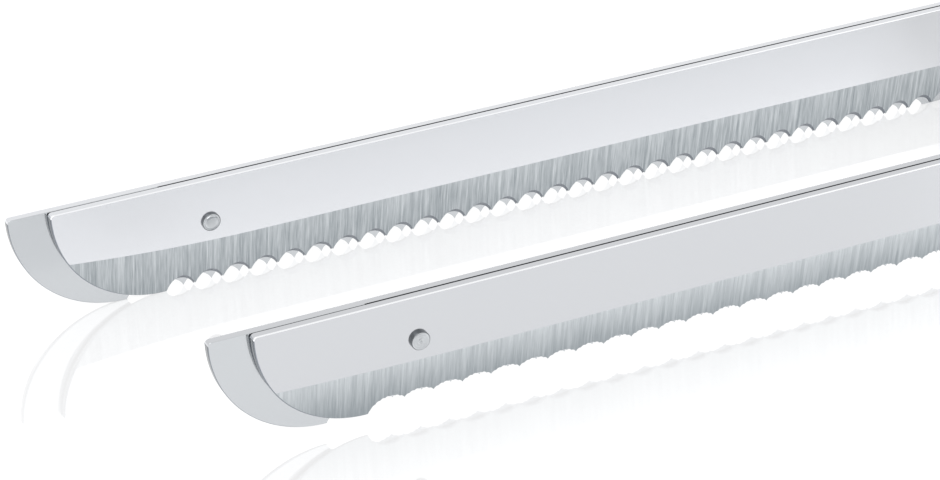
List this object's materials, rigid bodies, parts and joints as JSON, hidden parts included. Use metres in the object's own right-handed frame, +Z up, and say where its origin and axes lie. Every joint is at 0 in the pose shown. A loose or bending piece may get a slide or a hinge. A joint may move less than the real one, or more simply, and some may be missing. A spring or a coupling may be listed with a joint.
{
  "type": "electric carving knife",
  "caption": "Electric carving knife with a closed loop handle, motor and worm drive, twin reciprocating serrated blades and a spare twin blade set beside it",
  "frame": {"origin": "centre of the base pad's flat lower face, on the table", "axes": "+X from the blade tips to the rear of the handle, +Y to the far side, +Z up"},
  "size_m": [0.4202, 0.0829, 0.1078],
  "materials": {
    "blade_steel": "polished flats with a ground bevel",
    "rivet_steel": "turned",
    "screw_steel": "plated",
    "shell_plastic": "satin moulded",
    "dark_plastic": "fine grain moulded",
    "soft_grip": "soft touch",
    "inner_plastic": "moulded",
    "gear_plastic": "moulded",
    "gear_steel": "rolled",
    "can_steel": "zinc plated",
    "bronze": "sintered",
    "contact_brass": "bright",
    "copper_wire": "enamelled copper",
    "ferrite": "sintered",
    "carbon": "pressed carbon",
    "spring_steel": "wound wire",
    "board": "laminated board",
    "wire_cover": "insulated wire"
  },
  "bodies": {
    "handle": {"housing_near": "shell_plastic", "housing_far": "shell_plastic", "base_pad": "soft_grip", "nose_collar": "dark_plastic", "grip_pad": "soft_grip", "gear_frame": "inner_plastic", "blade_guide": "inner_plastic", "wheel_axle": "screw_steel", "motor_can": "can_steel", "motor_magnets": "ferrite", "motor_end_cap": "inner_plastic", "carbon_brushes": "carbon", "brush_springs": "spring_steel", "shaft_bushes": "bronze", "motor_screws": "screw_steel", "cord_inlet": "dark_plastic", "inlet_pins": "contact_brass", "rectifier_board": "board", "inlet_leads": "wire_cover", "motor_leads": "wire_cover", "switch_leads": "wire_cover", "switch_body": "inner_plastic", "trigger_pin": "screw_steel", "housing_screws": "screw_steel", "release_spring_near": "spring_steel", "release_spring_far": "spring_steel", "trigger_spring": "spring_steel", "lock_spring": "spring_steel", "bread_blade_near": "blade_steel", "bread_rivet": "rivet_steel", "bread_shank_near": "dark_plastic"},
    "rotor": {"motor_shaft": "screw_steel", "worm": "gear_steel", "armature_core": "gear_steel", "armature_winding": "copper_wire", "commutator": "copper_wire", "cooling_fan": "inner_plastic"},
    "wheel": {"worm_wheel": "gear_plastic", "eccentric_cams": "gear_plastic"},
    "drive_near": {"driver_near": "inner_plastic", "carving_blade_near": "blade_steel", "carving_shank_near": "dark_plastic", "carving_rivet": "rivet_steel"},
    "drive_far": {"driver_far": "inner_plastic", "carving_blade_far": "blade_steel", "carving_shank_far": "dark_plastic"},
    "latch_lever_near": {"latch_near": "inner_plastic"},
    "latch_lever_far": {"latch_far": "inner_plastic"},
    "release_near": {"release_button_near": "dark_plastic"},
    "release_far": {"release_button_far": "dark_plastic"},
    "trigger_lever": {"trigger": "dark_plastic"},
    "plunger": {"switch_plunger": "inner_plastic"},
    "lock": {"lock_button": "dark_plastic"},
    "spare_far": {"bread_blade_far": "blade_steel", "bread_shank_far": "dark_plastic"}
  },
  "joints": [
    {"name": "rotor_spin", "type": "hinge", "parent": "handle", "child": "rotor", "pos_m": [0, 0, 0.0305], "axis": [1, 0, 0], "range_deg": [0, 2383.94]},
    {"name": "wheel_turn", "type": "hinge", "parent": "handle", "child": "wheel", "pos_m": [-0.032, 0, 0.016], "axis": [0, -1, 0], "range_deg": [0, 119.2]},
    {"name": "blade_stroke_near", "type": "slide", "parent": "handle", "child": "drive_near", "axis": [1, 0, 0], "range_m": [-0.0069, 0]},
    {"name": "blade_stroke_far", "type": "slide", "parent": "handle", "child": "drive_far", "axis": [1, 0, 0], "range_m": [0, 0.0069]},
    {"name": "release_press_near", "type": "slide", "parent": "handle", "child": "release_near", "axis": [0, 1, 0], "range_m": [0, 0.0018], "stiffness_N_per_m": 500, "springref_m": -0.001, "deforming": ["release_spring_near"]},
    {"name": "release_press_far", "type": "slide", "parent": "handle", "child": "release_far", "axis": [0, -1, 0], "range_m": [0, 0.0018], "stiffness_N_per_m": 500, "springref_m": -0.001, "deforming": ["release_spring_far"]},
    {"name": "latch_turn_near", "type": "hinge", "parent": "drive_near", "child": "latch_lever_near", "pos_m": [-0.07055, -0.01175, 0.0122], "axis": [0, 0, 1], "range_deg": [0, 8]},
    {"name": "latch_turn_far", "type": "hinge", "parent": "drive_far", "child": "latch_lever_far", "pos_m": [-0.07745, 0.01175, 0.0122], "axis": [0, 0, -1], "range_deg": [0, 8]},
    {"name": "trigger_pull", "type": "hinge", "parent": "handle", "child": "trigger_lever", "pos_m": [-0.02, 0, 0.0885], "axis": [0, -1, 0], "range_deg": [0, 8], "stiffness_Nm_per_rad": 0.6, "springref_deg": -5.73, "deforming": ["trigger_spring"]},
    {"name": "plunger_slide", "type": "slide", "parent": "handle", "child": "plunger", "axis": [0, 0, 1], "range_m": [0, 0.00195]},
    {"name": "lock_press", "type": "slide", "parent": "handle", "child": "lock", "axis": [0, 1, 0], "range_m": [0, 0.0025], "stiffness_N_per_m": 400, "springref_m": -0.001, "deforming": ["lock_spring"]},
    {"name": "spare_slide", "type": "slide", "parent": "handle", "child": "spare_far", "axis": [1, 0, 0], "range_m": [0, 0.0138]}
  ],
  "couplings": [
    {"joint": "blade_stroke_far", "follows": "blade_stroke_near", "ratio": -1},
    {"joint": "wheel_turn", "follows": "blade_stroke_near", "rad_per_m": -301.5},
    {"joint": "rotor_spin", "follows": "blade_stroke_near", "rad_per_m": -6030.1},
    {"joint": "latch_turn_near", "follows": "release_press_near", "rad_per_m": 77.57},
    {"joint": "latch_turn_far", "follows": "release_press_far", "rad_per_m": 77.57},
    {"joint": "plunger_slide", "follows": "trigger_pull", "m_per_rad": 0.014}
  ]
}
